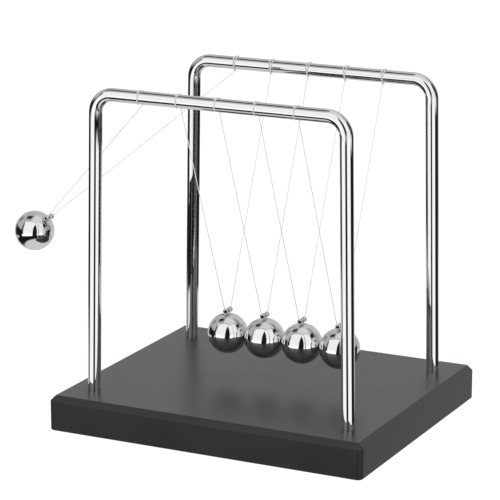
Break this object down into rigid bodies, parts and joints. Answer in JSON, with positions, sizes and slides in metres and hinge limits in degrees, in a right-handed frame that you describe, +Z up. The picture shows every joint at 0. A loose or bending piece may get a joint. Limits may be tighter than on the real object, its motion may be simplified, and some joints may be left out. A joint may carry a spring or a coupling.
{
  "type": "newtons cradle",
  "caption": "Desk pendulum toy: steel balls hung in a row on V-shaped lines between two bent-rod frames on a flat board, shown with the first ball drawn aside.",
  "frame": {"origin": "Centre of the underside of the felt sheet under the board, on the surface the cradle stands on.", "axes": "+X runs along the rails and the row of balls, from the ball that is drawn aside towards the last ball of the row; +Y runs from the front frame to the rear frame; +Z is up."},
  "size_m": [0.2444, 0.1526, 0.1847],
  "materials": {
    "board": "satin black lacquered fibreboard",
    "felt": "black felt sheet",
    "rod": "bright chrome plate on steel rod",
    "ball": "polished steel ball",
    "eyelet": "dull nickel plate",
    "line": "clear nylon monofilament",
    "fastener": "zinc plate"
  },
  "bodies": {
    "stand": {"base": "board", "base_sheet": "felt", "front_frame": "rod", "rear_frame": "rod", "front_hitch_1": "line", "front_hitch_2": "line", "front_hitch_3": "line", "front_hitch_4": "line", "front_hitch_5": "line", "rear_hitch_1": "line", "rear_hitch_2": "line", "rear_hitch_3": "line", "rear_hitch_4": "line", "rear_hitch_5": "line", "frame_screws": "fastener", "frame_washers": "fastener"},
    "pendulum_1": {"ball_1": "ball", "eyelet_1": "eyelet", "line_1": "line"},
    "pendulum_2": {"ball_2": "ball", "eyelet_2": "eyelet", "line_2": "line"},
    "pendulum_3": {"ball_3": "ball", "eyelet_3": "eyelet", "line_3": "line"},
    "pendulum_4": {"ball_4": "ball", "eyelet_4": "eyelet", "line_4": "line"},
    "pendulum_5": {"ball_5": "ball", "eyelet_5": "eyelet", "line_5": "line"}
  },
  "joints": [
    {"name": "swing_1", "type": "hinge", "parent": "stand", "child": "pendulum_1", "pos_m": [-0.0448, 0, 0.17599], "axis": [0, -1, 0], "range_deg": [-37, 47.8]},
    {"name": "swing_2", "type": "hinge", "parent": "stand", "child": "pendulum_2", "pos_m": [-0.0227, 0, 0.17599], "axis": [0, -1, 0], "range_deg": [-47.8, 0.04]},
    {"name": "swing_3", "type": "hinge", "parent": "stand", "child": "pendulum_3", "pos_m": [-0.0006, 0, 0.17599], "axis": [0, -1, 0], "range_deg": [-0.043, 0.043]},
    {"name": "swing_4", "type": "hinge", "parent": "stand", "child": "pendulum_4", "pos_m": [0.0215, 0, 0.17599], "axis": [0, -1, 0], "range_deg": [-0.043, 0.043]},
    {"name": "swing_5", "type": "hinge", "parent": "stand", "child": "pendulum_5", "pos_m": [0.0436, 0, 0.17599], "axis": [0, -1, 0], "range_deg": [-0.04, 80]}
  ]
}
